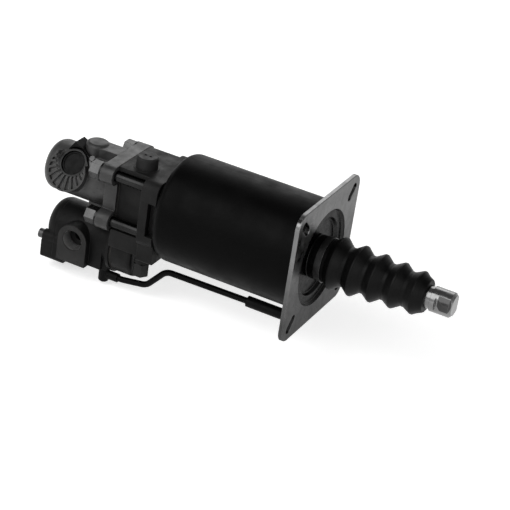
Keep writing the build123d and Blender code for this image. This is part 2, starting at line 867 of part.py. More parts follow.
with BuildPart() as hydraulic_body:
    with BuildSketch(cross_section(ear_back)) as ear_outline:
        Rectangle(2 * waist_half_width, 2 * bolt_z)
        with Locations(*bolt_spots):
            Circle(ear_radius)
        for level in (-1, 1):
            with Locations((0, level * bolt_z)):
                Rectangle(2 * bolt_y, 2 * ear_radius)
    extrude(amount=ear_flange_thickness)
    turn(
        [
            (-hydraulic_back, 0),
            (-ear_back, 0),
            (-ear_back, hydraulic_radius),
            (-hydraulic_back, hydraulic_radius),
        ],
        [0, 0, 0, hydraulic_corner],
    )
    with BuildSketch(inlet_plane(0)) as inlet_boss:
        Circle(inlet_boss_radius)
    extrude(inlet_boss.sketch, amount=inlet_boss_reach)
    post(hump_back, hump_y, 0, hump_top, hump_radius)
    fillet(hydraulic_body.faces().sort_by(Axis.Z)[-1].edges(), hump_edge)
    hump_shoulder = hump_top - hump_edge / 2
    slab(hump_back, ear_back, hump_y - hump_web / 2, hump_y + hump_web / 2, 0, hump_shoulder)
    slab(saddle_back, ear_back, -saddle_half_width, saddle_half_width, -valve_saddle_drop, 0)
    rib_centre = (inlet_back - port_axis_back, inlet_boss_reach * sin(radians(port_tilt - inlet_tilt)))
    with BuildSketch(inlet_plane(inlet_boss_reach)) as inlet_pocket:
        Circle(inlet_pocket_radius)
        with Locations(rib_centre):
            with PolarLocations(inlet_boss_reach, inlet_rib_count):
                Rectangle(2 * inlet_boss_reach, inlet_rib_thickness, mode=Mode.SUBTRACT)
    extrude(inlet_pocket.sketch, amount=-inlet_pocket_depth, mode=Mode.SUBTRACT)
    with BuildSketch(port_plane(0)) as port_collar:
        Circle(port_collar_radius)
    extrude(port_collar.sketch, amount=port_collar_reach)
    with BuildSketch(port_plane(port_collar_reach)) as port_spot:
        Circle(port_spot_radius)
    extrude(port_spot.sketch, amount=port_spot_height, mode=Mode.SUBTRACT)
    with BuildSketch(port_plane(port_recess_reach)) as port_recess:
        Circle(port_recess_radius)
    extrude(port_recess.sketch, amount=port_spot_height, mode=Mode.SUBTRACT)
    bar(chamber_back, housing_front, chamber_radius, mode=Mode.SUBTRACT)
    with BuildSketch(port_plane(chamber_radius / 2)) as inlet_hole:
        Circle(inlet_hole_radius)
    extrude(inlet_hole.sketch, amount=port_recess_reach, mode=Mode.SUBTRACT)
    for y, z in bolt_spots:
        bar(ear_back, housing_front, bolt_hole_radius, y, z, mode=Mode.SUBTRACT)
    bar(ear_back, housing_front, valve_ring_radius + housing_relief, z=-valve_drop, mode=Mode.SUBTRACT)
    with BuildSketch(bleed_plane(hydraulic_radius - bleed_screw_depth)) as bleed_thread:
        Circle(bleed_screw_radius + seat_gap)
    extrude(bleed_thread.sketch, amount=2 * bleed_screw_depth, mode=Mode.SUBTRACT)
finish(hydraulic_body, "hydraulic_body")

# Black plug in the hydraulic inlet
with BuildPart() as inlet_plug:
    with BuildSketch(port_plane(port_recess_reach)) as plug_rim:
        Circle(inlet_plug_radius)
    extrude(plug_rim.sketch, amount=inlet_plug_height)
    with BuildSketch(port_plane(port_recess_reach + inlet_plug_height - inlet_plug_rim)) as plug_dish:
        Circle(inlet_plug_radius - inlet_plug_rim)
    extrude(plug_dish.sketch, amount=inlet_plug_rim, mode=Mode.SUBTRACT)
    with BuildSketch(port_plane(port_recess_reach - inlet_plug_depth)) as plug_shank:
        Circle(inlet_hole_radius - seat_gap)
    extrude(plug_shank.sketch, amount=inlet_plug_depth)
finish(inlet_plug, "inlet_plug")

# Bleed screw on the shoulder of the housing
with BuildPart() as bleed_screw:
    with BuildSketch(bleed_plane(hydraulic_radius - bleed_screw_depth + seat_gap)) as bleed_shank:
        Circle(bleed_screw_radius)
    extrude(bleed_shank.sketch, amount=bleed_screw_depth)
    with BuildSketch(bleed_plane(hydraulic_radius + seat_gap)) as bleed_hexagon:
        RegularPolygon(bleed_screw_flats / 2, 6, major_radius=False)
    extrude(bleed_hexagon.sketch, amount=bleed_screw_height)
    with BuildSketch(bleed_plane(hydraulic_radius + bleed_screw_height)) as bleed_nipple:
        Circle(bleed_nipple_radius)
    extrude(bleed_nipple.sketch, amount=bleed_nipple_reach - hydraulic_radius - bleed_screw_height)
finish(bleed_screw, "bleed_screw")

# Tie bolts and washers
with BuildPart() as tie_bolts:
    bolt_seat = ear_back + washer_thickness
    bolt_tip = front_block_back - bolt_thread_length + bolt_tip_gap
    for y, z in bolt_spots:
        with BuildSketch(cross_section(bolt_seat + bolt_head_height)) as bolt_head:
            with Locations((y, z)):
                RegularPolygon(bolt_head_flats / 2, 6, major_radius=False)
        extrude(bolt_head.sketch, amount=bolt_head_height)
        bar(bolt_seat, bolt_tip, bolt_radius, y, z)
finish(tie_bolts, "tie_bolts")

with BuildPart() as tie_bolt_washers:
    for y, z in bolt_spots:
        bar(ear_back + washer_thickness, ear_back, washer_radius, y, z)
        bar(ear_back + washer_thickness, ear_back, bolt_hole_radius, y, z, mode=Mode.SUBTRACT)
finish(tie_bolt_washers, "tie_bolt_washers")

# Relay valve body: a round casting with an arched air port, a foot and a square rear flange
arch_plane = Plane(origin=(-port_back, -port_face_y, -port_drop), x_dir=(1, 0, 0), z_dir=(0, -1, 0))
rear_flange_front = valve_back - valve_rear_flange


def rear_plate(back, thickness):
    """The lower plate shared by the valve's rear flange and its cover."""
    with BuildSketch(cross_section(back)) as plate:
        with Locations((0, -(valve_rear_top_drop + valve_rear_drop) / 2)):
            plate_height = valve_rear_drop - valve_rear_top_drop
            RectangleRounded(2 * valve_rear_half_width, plate_height, valve_cover_corner)
        with Locations((-cover_screw_y, -cover_screw_drop), (cover_screw_y, -cover_screw_drop)):
            Circle(cover_lug_radius)
    extrude(plate.sketch, amount=thickness)


with BuildPart() as relay_valve_body:
    bar(valve_back, valve_front, valve_radius, z=-valve_drop)
    bar(valve_front + valve_ring_width, valve_front, valve_ring_radius, z=-valve_drop)
    rear_plate(valve_back, valve_rear_flange)
    slab(rear_flange_front, elbow_back, -valve_radius, 0, -valve_foot_drop, -valve_drop)
    with BuildSketch(arch_plane) as port_arch:
        Circle(port_boss_radius)
        with Locations((0, -(valve_foot_drop - port_drop) / 2)):
            Rectangle(2 * port_boss_radius, valve_foot_drop - port_drop)
    extrude(port_arch.sketch, amount=-port_face_y)
    slab(saddle_back, ear_back, -saddle_half_width, saddle_half_width, -valve_drop, -valve_saddle_drop)
    post(elbow_back, vent_low_y, -elbow_top_drop, -valve_drop, elbow_boss_radius)
    bar(partition_front, valve_front, control_bore_radius, z=-valve_drop, mode=Mode.SUBTRACT)
    partition_back = partition_front + partition_thickness
    bar(valve_back, partition_back, supply_bore_radius, z=-valve_drop, mode=Mode.SUBTRACT)
    seat_back = partition_back + inlet_seat_height
    bar(seat_back, partition_front, inlet_seat_radius + inlet_seat_wall, z=-valve_drop)
    bar(seat_back, partition_front, inlet_seat_radius, z=-valve_drop, mode=Mode.SUBTRACT)
    with BuildSketch(arch_plane) as port_thread:
        Circle(port_thread_radius)
    extrude(port_thread.sketch, amount=-port_thread_depth, mode=Mode.SUBTRACT)
    with BuildSketch(arch_plane) as port_drill:
        Circle(port_drill_radius)
    extrude(port_drill.sketch, amount=-port_face_y + supply_bore_radius / 2, mode=Mode.SUBTRACT)
    elbow_hole_radius = elbow_stub_radius + running_gap
    post(elbow_back, vent_low_y, -elbow_top_drop, -valve_drop, elbow_hole_radius, mode=Mode.SUBTRACT)
    for side in (-1, 1):
        bar(
            valve_back,
            valve_back - cover_screw_grip,
            cover_screw_radius + seat_gap,
            side * cover_screw_y,
            -cover_screw_drop,
            mode=Mode.SUBTRACT,
        )
finish(relay_valve_body, "relay_valve_body")

with BuildPart() as valve_gasket:
    tube(valve_front, head_back, lower_barrel_radius, control_bore_radius + seat_gap, valve_drop)
finish(valve_gasket, "valve_gasket")

# Relay valve cover with its spigot, sealing ring and screws
cover_back = valve_back + valve_cover_thickness
cover_nose = valve_back - cover_spigot_length
cover_ring_front = valve_back - cover_spigot_length / 2
spigot_skin = supply_bore_radius - running_gap
with BuildPart() as valve_cover:
    turn(
        [
            (-cover_back, 0),
            (-valve_back, 0),
            (-valve_back, valve_radius),
            (-cover_back, valve_radius),
        ],
        [0, 0, 0, valve_dome_corner],
        valve_drop,
    )
    rear_plate(cover_back, valve_cover_thickness)
    bar(valve_back, cover_nose, spigot_skin, z=-valve_drop)
    tube(
        cover_ring_front + cover_ring_width,
        cover_ring_front,
        spigot_skin,
        spigot_skin - cover_ring_depth,
        valve_drop,
        mode=Mode.SUBTRACT,
    )
    bar(poppet_hole_back, cover_nose, poppet_stem_radius + running_gap, z=-valve_drop, mode=Mode.SUBTRACT)
    for side in (-1, 1):
        bar(
            cover_back,
            valve_back,
            cover_screw_radius + seat_gap,
            side * cover_screw_y,
            -cover_screw_drop,
            mode=Mode.SUBTRACT,
        )
finish(valve_cover, "valve_cover")

with BuildPart() as valve_cover_ring:
    tube(
        cover_ring_front + cover_ring_width - running_gap,
        cover_ring_front + running_gap,
        spigot_skin,
        spigot_skin - cover_ring_depth + running_gap,
        valve_drop,
    )
finish(valve_cover_ring, "valve_cover_ring")

with BuildPart() as valve_cover_screws:
    for side in (-1, 1):
        screw_y = side * cover_screw_y
        screw_end = valve_back - cover_screw_grip + seat_gap
        bar(cover_back + cover_screw_head, cover_back, cover_screw_head_radius, screw_y, -cover_screw_drop)
        bar(cover_back, screw_end, cover_screw_radius, screw_y, -cover_screw_drop)
finish(valve_cover_screws, "valve_cover_screws")

# Control piston, its ring and spring
control_disc_back = control_disc_front + control_disc_length
control_ring_front = control_disc_front + (control_disc_length - control_ring_width) / 2
disc_radius = control_bore_radius - running_gap
with BuildPart() as control_piston:
    turn(
        [
            (-control_stem_tip, control_stem_bore),
            (-control_disc_back, control_stem_bore),
            (-control_disc_back, 0),
            (-control_nose_bore_front - control_nose_end_gap, 0),
            (-control_nose_bore_front - control_nose_end_gap, control_nose_radius),
            (-control_disc_front, control_nose_radius),
            (-control_disc_front, disc_radius),
            (-control_disc_back, disc_radius),
            (-control_disc_back, control_stem_radius),
            (-control_stem_tip, control_stem_radius),
        ],
        drop=valve_drop,
    )
    tube(
        control_ring_front + control_ring_width,
        control_ring_front,
        disc_radius,
        disc_radius - control_ring_depth,
        valve_drop,
        mode=Mode.SUBTRACT,
    )
finish(control_piston, "control_piston")

with BuildPart() as control_piston_ring:
    tube(
        control_ring_front + control_ring_width - running_gap,
        control_ring_front + running_gap,
        disc_radius,
        disc_radius - control_ring_depth + running_gap,
        valve_drop,
    )
finish(control_piston_ring, "control_piston_ring")

with BuildPart() as control_spring:
    coil(
        partition_front - seat_gap,
        control_disc_back + seat_gap,
        return_spring_radius,
        return_wire_radius,
        return_turns,
        valve_drop,
    )
finish(control_spring, "control_spring")

# Inlet poppet and its spring
poppet_front = seat_back + running_gap
poppet_back = poppet_front + poppet_length
with BuildPart() as inlet_poppet:
    bar(poppet_back, poppet_front, poppet_radius, z=-valve_drop)
    bar(poppet_stem_back, poppet_back, poppet_stem_radius, z=-valve_drop)
finish(inlet_poppet, "inlet_poppet")

with BuildPart() as poppet_spring:
    coil(
        cover_nose - seat_gap,
        poppet_back + seat_gap,
        poppet_spring_radius,
        poppet_wire_radius,
        poppet_turns,
        valve_drop,
    )
finish(poppet_spring, "poppet_spring")

# Vent elbow under the relay valve
with BuildPart() as vent_elbow:
    post(elbow_back, vent_low_y, -elbow_drop, -elbow_top_drop, elbow_radius)
    fillet(vent_elbow.faces().sort_by(Axis.Z)[0].edges(), elbow_corner)
    bar(elbow_back, elbow_socket_front, elbow_socket_radius, vent_low_y, -elbow_socket_drop)
    post(elbow_back, vent_low_y, -elbow_top_drop, -elbow_top_drop + elbow_stub_length, elbow_stub_radius)
    bar(
        elbow_socket_front + pipe_insertion,
        elbow_socket_front,
        pipe_radius + running_gap,
        vent_low_y,
        -elbow_socket_drop,
        mode=Mode.SUBTRACT,
    )
finish(vent_elbow, "vent_elbow")

# Vent pipe: along the underside, up past the barrel's corner, then along the barrel
with BuildPart() as vent_pipe:
    with BuildLine() as vent_route:
        FilletPolyline(
            (-elbow_socket_front - pipe_insertion + seat_gap, vent_low_y, -elbow_socket_drop),
            (-elbow_socket_front + pipe_straight, vent_low_y, -elbow_socket_drop),
            (-vent_low_back, vent_low_y, -vent_low_drop),
            (-vent_high_back, vent_y, -vent_high_drop),
            (-hose_back, vent_y, -vent_drop),
            (-pipe_front_back, vent_y, -vent_drop),
            radius=[entry_bend_radius, pipe_bend_radius, pipe_bend_radius, entry_bend_radius],
        )
    with BuildSketch(Plane(origin=vent_route.line @ 0, z_dir=vent_route.line % 0)) as pipe_section:
        Circle(pipe_radius)
        Circle(pipe_bore, mode=Mode.SUBTRACT)
    sweep(pipe_section.sketch, path=vent_route.line)
finish(vent_pipe, "vent_pipe")

with BuildPart() as vent_nipple:
    with BuildLine() as nipple_route:
        nipple_corner = Vector(-nipple_back, vent_y, -vent_drop)
        nipple_end = nipple_corner + vent_inward * (vent_reach - bore_radius - barrel_wall / 2)
        FilletPolyline(
            (-nipple_tail_back, vent_y, -vent_drop),
            (-nipple_back, vent_y, -vent_drop),
            nipple_end,
            radius=nipple_bend_radius,
        )
    with BuildSketch(Plane(origin=nipple_route.line @ 0, z_dir=nipple_route.line % 0)) as nipple_section:
        Circle(pipe_radius)
        Circle(pipe_bore, mode=Mode.SUBTRACT)
    sweep(nipple_section.sketch, path=nipple_route.line)
finish(vent_nipple, "vent_nipple")

with BuildPart() as vent_hose:
    hose_front = hose_back - hose_length
    bar(hose_back, hose_front, hose_radius, vent_y, -vent_drop)
    bar(hose_back, hose_front, pipe_radius + running_gap, vent_y, -vent_drop, mode=Mode.SUBTRACT)
finish(vent_hose, "vent_hose")

# Dust cover: a dark moulding that sits on the housing beside the bleed screw
with BuildPart() as dust_cover:
    dust_cover_plane = Plane(origin=(0, dust_cover_near_y, 0), x_dir=(1, 0, 0), z_dir=(0, -1, 0))
    with BuildSketch(dust_cover_plane) as dust_cover_outline:
        Polygon(
            (-dust_cover_back, 0),
            (-dust_cover_front, 0),
            (-dust_cover_front, hydraulic_radius),
            (-dust_cover_peak_back, dust_cover_top),
            (-dust_cover_back, hydraulic_radius),
            align=None,
        )
    extrude(dust_cover_outline.sketch, amount=dust_cover_near_y - dust_cover_far_y)
    bar(dust_cover_back, dust_cover_front, hydraulic_radius + seat_gap, mode=Mode.SUBTRACT)
    with BuildSketch(inlet_plane(0)) as boss_relief:
        Circle(inlet_boss_radius + seat_gap)
    extrude(boss_relief.sketch, amount=inlet_boss_reach, mode=Mode.SUBTRACT)
    with BuildSketch(port_plane(0)) as collar_relief:
        Circle(port_spot_radius)
    extrude(collar_relief.sketch, amount=port_collar_reach + port_spot_height, mode=Mode.SUBTRACT)
    post(hump_back, hump_y, 0, hump_top, hump_radius + seat_gap, mode=Mode.SUBTRACT)
finish(dust_cover, "dust_cover")
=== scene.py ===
import json
from math import atan2, cos, pi, radians, sin, tan

import bpy
from mathutils import Matrix, Vector

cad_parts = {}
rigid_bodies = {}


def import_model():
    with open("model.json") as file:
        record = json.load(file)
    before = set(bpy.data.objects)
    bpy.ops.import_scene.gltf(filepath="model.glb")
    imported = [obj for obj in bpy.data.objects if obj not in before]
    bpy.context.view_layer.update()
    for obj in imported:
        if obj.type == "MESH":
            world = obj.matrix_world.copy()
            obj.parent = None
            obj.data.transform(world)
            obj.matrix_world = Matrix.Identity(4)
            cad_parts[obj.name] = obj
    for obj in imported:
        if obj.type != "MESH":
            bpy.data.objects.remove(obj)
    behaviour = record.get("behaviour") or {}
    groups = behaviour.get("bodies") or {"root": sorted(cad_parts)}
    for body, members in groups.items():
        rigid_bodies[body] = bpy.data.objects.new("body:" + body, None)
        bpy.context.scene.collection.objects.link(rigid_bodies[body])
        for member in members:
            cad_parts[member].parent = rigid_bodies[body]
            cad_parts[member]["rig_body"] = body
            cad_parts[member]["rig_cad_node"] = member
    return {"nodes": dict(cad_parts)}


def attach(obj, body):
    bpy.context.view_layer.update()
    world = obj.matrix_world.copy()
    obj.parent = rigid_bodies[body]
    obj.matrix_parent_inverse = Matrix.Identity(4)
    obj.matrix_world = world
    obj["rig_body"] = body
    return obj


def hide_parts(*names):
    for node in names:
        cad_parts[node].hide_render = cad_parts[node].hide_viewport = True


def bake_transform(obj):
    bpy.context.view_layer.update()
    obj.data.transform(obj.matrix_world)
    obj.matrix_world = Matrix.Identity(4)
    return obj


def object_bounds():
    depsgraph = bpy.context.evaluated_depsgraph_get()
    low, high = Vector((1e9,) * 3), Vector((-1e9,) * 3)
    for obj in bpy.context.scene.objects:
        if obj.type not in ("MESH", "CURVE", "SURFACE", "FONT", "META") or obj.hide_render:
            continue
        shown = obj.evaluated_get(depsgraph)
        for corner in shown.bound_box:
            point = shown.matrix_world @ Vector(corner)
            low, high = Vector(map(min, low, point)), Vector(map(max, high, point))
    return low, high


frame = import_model()
cad_low, cad_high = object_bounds()
nodes = frame["nodes"]


def placed(name, data):
    """A new object, linked into the scene."""
    thing = bpy.data.objects.new(name, data)
    bpy.context.scene.collection.objects.link(thing)
    return thing


# Camera: at the photograph's viewing angle, without shift
camera_place = (0.5609, -1.4601, 0.8175)
view_back = Vector((0.3483, -0.8128, 0.4669)).normalized()
view_right = Vector((0.8797, 0.4555, 0.1367))
view_right = (view_right - view_back * view_right.dot(view_back)).normalized()
view_up = view_back.cross(view_right)
camera_data = bpy.data.cameras.new("camera")
camera_data.sensor_width = 36.0
camera_data.lens = 138.66
camera_data.clip_start = 0.05
camera_data.clip_end = 50.0
camera = placed("camera", camera_data)
camera_axes = Matrix((view_right, view_up, view_back)).transposed()
camera.matrix_world = Matrix.Translation(camera_place) @ camera_axes.to_4x4()
bpy.context.scene.camera = camera


# Node graphs, with short ways to make and join their nodes
class Graph:
    def __init__(self, tree):
        self.tree = tree
        self.tree.nodes.clear()

    def add(self, kind, **settings):
        node = self.tree.nodes.new(kind)
        for name, value in settings.items():
            setattr(node, name, value)
        return node

    def feed(self, socket, value):
        """Joins an output to a socket, or sets the socket's own value."""
        if isinstance(value, bpy.types.NodeSocket):
            self.tree.links.new(value, socket)
        else:
            socket.default_value = value

    def maths(self, kind, first, second):
        node = self.add("ShaderNodeMath", operation=kind)
        self.feed(node.inputs[0], first)
        self.feed(node.inputs[1], second)
        return node.outputs["Value"]

    def product(self, first, *others):
        for other in others:
            first = self.maths("MULTIPLY", first, other)
        return first

    def vectors(self, kind, first, second=None):
        node = self.add("ShaderNodeVectorMath", operation=kind)
        self.feed(node.inputs[0], first)
        if second is not None:
            self.feed(node.inputs[1], second)
        return node

    def spread(self, value, low, high, to_low=0.0, to_high=1.0, easing="LINEAR"):
        """A value's range from low to high, spread over another range and held at its ends."""
        node = self.add("ShaderNodeMapRange", interpolation_type=easing)
        self.feed(node.inputs["Value"], value)
        self.feed(node.inputs["From Min"], low)
        self.feed(node.inputs["From Max"], high)
        self.feed(node.inputs["To Min"], to_low)
        self.feed(node.inputs["To Max"], to_high)
        return node.outputs["Result"]

    def shown(self):
        """1 for rays that show a place to the camera, straight, mirrored or through glass, else 0."""
        rays = self.add("ShaderNodeLightPath").outputs
        indirect = self.maths("MAXIMUM", rays["Is Glossy Ray"], rays["Is Transmission Ray"])
        return self.maths("MAXIMUM", rays["Is Camera Ray"], indirect)


class Material(Graph):
    def __init__(self, name):
        self.material = bpy.data.materials.new(name)
        self.material.use_nodes = True
        super().__init__(self.material.node_tree)
        output = self.add("ShaderNodeOutputMaterial")
        self.shader = self.add("ShaderNodeBsdfPrincipled")
        self.feed(output.inputs["Surface"], self.shader.outputs["BSDF"])
        self.place = self.add("ShaderNodeTexCoord").outputs["Object"]
        self.soft_normal = None

    def surface(self, **values):
        """Feeds sockets of the shader, whose names have _ for a space."""
        for name, value in values.items():
            self.feed(self.shader.inputs[name.replace("_", " ")], value)

    def noise(self, scale, detail=4.0, roughness=0.55, stretch=None, distortion=0.0):
        place = self.place
        if stretch:
            mapping = self.add("ShaderNodeMapping")
            self.feed(mapping.inputs["Vector"], place)
            self.feed(mapping.inputs["Scale"], stretch)
            place = mapping.outputs["Vector"]
        node = self.add("ShaderNodeTexNoise")
        self.feed(node.inputs["Vector"], place)
        self.feed(node.inputs["Scale"], scale)
        self.feed(node.inputs["Detail"], detail)
        self.feed(node.inputs["Roughness"], roughness)
        self.feed(node.inputs["Distortion"], distortion)
        return node.outputs["Fac"]

    def uneven(self, roughness, smoother, scale, detail=4.0):
        """A roughness that varies in patches, from somewhat smoother to somewhat rougher."""
        rougher = 0.12
        patches = self.noise(scale, detail)
        return self.spread(patches, 0.3, 0.7, roughness - smoother, roughness + rougher)

    def along(self, direction):
        """How far a place lies from the origin, measured along a direction."""
        return self.vectors("DOT_PRODUCT", self.place, direction).outputs["Value"]

    def from_axis(self, point, direction):
        """How far a place lies from the line through a point."""
        offset = self.vectors("SUBTRACT", self.place, point).outputs["Vector"]
        across = self.vectors("CROSS_PRODUCT", offset, direction).outputs["Vector"]
        return self.vectors("LENGTH", across).outputs["Value"]

    def above(self, value, limit, blur):
        """1 where a value is above a limit, 0 below it, with a blurred step between."""
        return self.spread(value, limit - blur, limit + blur)

    def below(self, value, limit, blur):
        return self.spread(value, limit - blur, limit + blur, 1.0, 0.0)

    def mixed(self, share, first, second):
        """Two tones, mixed by a share of the second."""
        node = self.add("ShaderNodeMix", data_type="RGBA")
        first_colour, second_colour, mixed_colour = node.inputs[6], node.inputs[7], node.outputs[2]
        self.feed(node.inputs["Factor"], share)
        self.feed(first_colour, first)
        self.feed(second_colour, second)
        return mixed_colour

    def patched(self, tone, clouds, patches, warm):
        """A tone with other, cloudy tones laid over the places that the patches name."""
        for share, level in patches:
            patch = self.mixed(clouds, grey(level * 0.75, warm), grey(level * 1.25, warm))
            tone = self.mixed(share(self), tone, patch)
        return tone

    def edges(self, radius):
        """1 along edges, within a radius, and 0 on open faces. The bumps then start from softened edges."""
        bevel = self.add("ShaderNodeBevel", samples=6)
        self.feed(bevel.inputs["Radius"], radius)
        self.soft_normal = bevel.outputs["Normal"]
        true_normal = self.add("ShaderNodeNewGeometry").outputs["Normal"]
        likeness = self.vectors("DOT_PRODUCT", self.soft_normal, true_normal).outputs["Value"]
        return self.spread(likeness, 0.995, 0.86)

    def bump(self, depth, *heights):
        """Lays bumps of a depth in metres over each other, each of a height pattern and its strength."""
        normal = self.soft_normal
        for height, strength in heights:
            node = self.add("ShaderNodeBump")
            self.feed(node.inputs["Strength"], strength)
            self.feed(node.inputs["Distance"], depth)
            self.feed(node.inputs["Height"], height)
            if normal is not None:
                self.feed(node.inputs["Normal"], normal)
            normal = node.outputs["Normal"]
        self.surface(Normal=normal)


def grey(level, warm=0.0):
    return (level * (1 + warm), level, level * (1 - warm), 1.0)


# Kinds of surface
def cast_metal(name, level, grain=700.0, specular=0.2, roughness=0.5, patches=()):
    """Cast aluminium: cloudy tone, fine grain, brighter rubbed edges, darker specks and toned patches."""
    g = Material(name)
    warm = 0.01
    clouds = g.spread(g.noise(scale=38.0, detail=5.0), 0.32, 0.68)
    tone = g.mixed(clouds, grey(level * 0.6, warm), grey(level * 1.5, warm))
    tone = g.patched(tone, clouds, patches, warm)
    specks = g.spread(g.noise(scale=grain * 0.6, detail=2.0), 0.62, 0.74, 0.0, 0.55)
    tone = g.mixed(specks, tone, grey(level * 0.45, warm))
    rubbed = g.spread(g.noise(scale=160.0), 0.35, 0.6, 0.2, 0.8)
    tone = g.mixed(g.product(g.edges(radius=0.0012), rubbed), tone, grey(level * 2.4, warm))
    g.surface(
        Base_Color=tone,
        Metallic=0.15,
        Roughness=g.uneven(roughness, smoother=0.08, scale=90.0),
        Specular_IOR_Level=specular,
    )
    fine = g.noise(scale=grain, detail=3.0, roughness=0.6)
    coarse = g.noise(scale=grain * 0.25, detail=3.0)
    g.bump(0.00025, (fine, 0.35), (coarse, 0.3))
    return g.material


def bright_metal(
    name, level, roughness, brushed=(1.0, 1.0, 1.0), warm=0.0, scratch=0.5, glancing=1.0, patches=()
):
    """Plated or ground steel: tone and sheen vary, with fine scratches and toned patches. Brushing
    draws the scratches out, and a glancing tone under 1 takes the sheen off at flat angles."""
    g = Material(name)
    clouds = g.spread(g.noise(scale=45.0, detail=5.0, distortion=0.6), 0.3, 0.7)
    tone = g.mixed(clouds, grey(level * 0.84, warm), grey(level * 1.1, warm))
    lines = g.noise(scale=240.0, detail=3.0, roughness=0.6, stretch=brushed)
    tone = g.mixed(g.spread(lines, 0.55, 0.8, 0.0, scratch), tone, grey(level * 0.72, warm))
    tone = g.patched(tone, clouds, patches, warm)
    tone = g.mixed(g.product(g.edges(radius=0.0005), 0.7), tone, grey(level * 1.35, warm))
    g.surface(
        Base_Color=tone,
        Metallic=1.0,
        Roughness=g.uneven(roughness, smoother=0.07, scale=130.0),
        Specular_Tint=grey(glancing),
    )
    g.bump(0.0001, (lines, 0.12), (g.noise(scale=900.0, detail=2.0), 0.05))
    return g.material


def paint(name, level, roughness, specular):
    """Satin black paint over steel: faint orange peel, dust and rubbed edges."""
    g = Material(name)
    clouds = g.spread(g.noise(scale=22.0, detail=5.0), 0.3, 0.72)
    tone = g.mixed(clouds, grey(level * 0.75), grey(level * 1.35))
    dust = g.spread(g.noise(scale=420.0, detail=3.0, roughness=0.7), 0.66, 0.8, 0.0, 0.35)
    tone = g.mixed(dust, tone, grey(level * 3.2 + 0.01))
    rubbed = g.spread(g.noise(scale=210.0), 0.45, 0.62, 0.0, 0.5)
    tone = g.mixed(g.product(g.edges(radius=0.0006), rubbed), tone, grey(0.05))
    g.surface(
        Base_Color=tone,
        Metallic=0.0,
        Roughness=g.uneven(roughness, smoother=0.06, scale=60.0, detail=5.0),
        Specular_IOR_Level=specular,
    )
    peel = g.noise(scale=520.0, detail=2.0)
    waves = g.noise(scale=60.0, detail=3.0)
    g.bump(0.0002, (peel, 0.12), (waves, 0.1))
    return g.material


def rubber(name, level, roughness, specular=0.3):
    """Moulded rubber: matt, with a pale bloom in patches and a very fine grain."""
    g = Material(name)
    bloom = g.spread(g.noise(scale=55.0, detail=6.0, roughness=0.6), 0.36, 0.72)
    tone = g.mixed(bloom, grey(level * 0.8), grey(level * 2.4))
    dust = g.spread(g.noise(scale=600.0, detail=3.0), 0.62, 0.8, 0.0, 0.4)
    tone = g.mixed(dust, tone, grey(level * 3.0))
    g.surface(
        Base_Color=tone,
        Metallic=0.0,
        Roughness=g.uneven(roughness, smoother=0.1, scale=110.0),
        Specular_IOR_Level=specular,
    )
    fine = g.noise(scale=1400.0, detail=2.0)
    coarse = g.noise(scale=160.0, detail=3.0)
    g.bump(0.00015, (fine, 0.14), (coarse, 0.16))
    return g.material


def plastic(name, level, roughness=0.45, warm=0.0, specular=0.4):
    """Moulded plastic: an even tone, light scuffs and rubbed edges."""
    g = Material(name)
    clouds = g.spread(g.noise(scale=70.0), 0.3, 0.7)
    tone = g.mixed(clouds, grey(level * 0.85, warm), grey(level * 1.2, warm))
    rubbed_level = min(0.9, level * 2.2 + 0.01)
    tone = g.mixed(g.product(g.edges(radius=0.0005), 0.4), tone, grey(rubbed_level, warm))
    g.surface(
        Base_Color=tone,
        Metallic=0.0,
        Roughness=g.uneven(roughness, smoother=0.08, scale=200.0),
        Specular_IOR_Level=specular,
    )
    g.bump(0.0001, (g.noise(scale=1000.0, detail=2.0), 0.15))
    return g.material


# Places on the pieces that their materials name
forward = (1.0, 0.0, 0.0)
near = (0.0, -1.0, 0.0)
down = (0.0, 0.0, -1.0)
origin = (0.0, 0.0, 0.0)
rod_line = (origin, forward)


def facing_near(tilt):
    """The direction to the near side, tilted upwards by some degrees."""
    return (0.0, -cos(radians(tilt)), sin(radians(tilt)))


inlet_direction = facing_near(20.0)
inlet_line = ((-0.254, 0.0, 0.0), inlet_direction)
hydraulic_port_direction = facing_near(38.0)
hydraulic_port_line = ((-0.252, 0.0, 0.0), hydraulic_port_direction)
air_port_centre = (-0.2385, 0.0, -0.057)
flat_direction = facing_near(14.0)


def lit_inlet_floor(g):
    """The floor and the ribs' sides inside the inlet boss, painted lighter to take out their shade; the
    boss's own rim stays plain.
    """
    ring_radius, floor_reach, rib_reach = 0.018, 0.0265, 0.0307
    out = g.along(inlet_direction)
    return g.product(
        g.below(g.from_axis(*inlet_line), ring_radius, blur=0.0004),
        g.above(out, floor_reach, blur=0.0003),
        g.below(out, rib_reach, blur=0.0002),
    )


def port_mouth(g):
    """The collar and spot face round the hydraulic port, dark with oil and old paint."""
    face_radius, collar_reach = 0.0147, 0.0193
    return g.product(
        g.below(g.from_axis(*hydraulic_port_line), face_radius, blur=0.0005),
        g.above(g.along(hydraulic_port_direction), collar_reach, blur=0.0003),
    )


def air_port_face(g):
    """The arch round the air port and the port's bore, where the casting is bare."""
    bore_radius, bore_end, arch_reach = 0.0109, 0.01675, 0.03125
    out = g.along(near)
    bore = g.product(
        g.below(g.from_axis(air_port_centre, near), bore_radius, blur=0.0003),
        g.above(out, bore_end, blur=0.00075),
    )
    return g.maths("MAXIMUM", bore, g.above(out, arch_reach, blur=0.00045))


def shaded_foot(g):
    """The lower part of the flange, darker and darker towards the bottom: painted shade."""
    unshaded_height, full_shade_height, most = 0.035, -0.045, 0.9
    return g.spread(g.along(down), -unshaded_height, -full_shade_height, 0.0, most)


